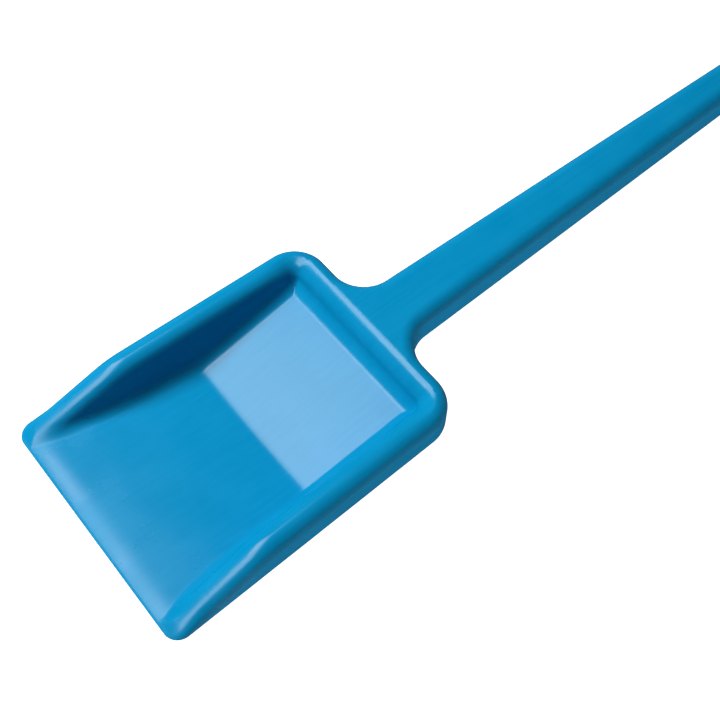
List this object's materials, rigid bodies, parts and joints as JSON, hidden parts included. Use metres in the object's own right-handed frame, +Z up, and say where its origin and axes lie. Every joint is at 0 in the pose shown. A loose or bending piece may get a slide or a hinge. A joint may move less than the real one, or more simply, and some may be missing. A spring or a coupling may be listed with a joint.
{
  "type": "hand scoop",
  "caption": "Moulded hand scoop: a folded, open-fronted pan inside a rolled rim, a flared neck and a tapered channel handle with a hang hole.",
  "frame": {"origin": "middle of the box in X and Y, on the surface the scoop rests on", "axes": "+X from the lip to the handle's tip, +Y to the left, +Z up"},
  "size_m": [0.419, 0.1234, 0.0254],
  "materials": {
    "blue_plastic": "satin gloss, moulded"
  },
  "bodies": {
    "root": {"front_floor": "blue_plastic", "rear_floor": "blue_plastic", "left_side_wall": "blue_plastic", "right_side_wall": "blue_plastic", "back_wall": "blue_plastic", "left_rear_corner": "blue_plastic", "right_rear_corner": "blue_plastic", "neck": "blue_plastic", "handle": "blue_plastic", "handle_tip": "blue_plastic"}
  },
  "joints": []
}
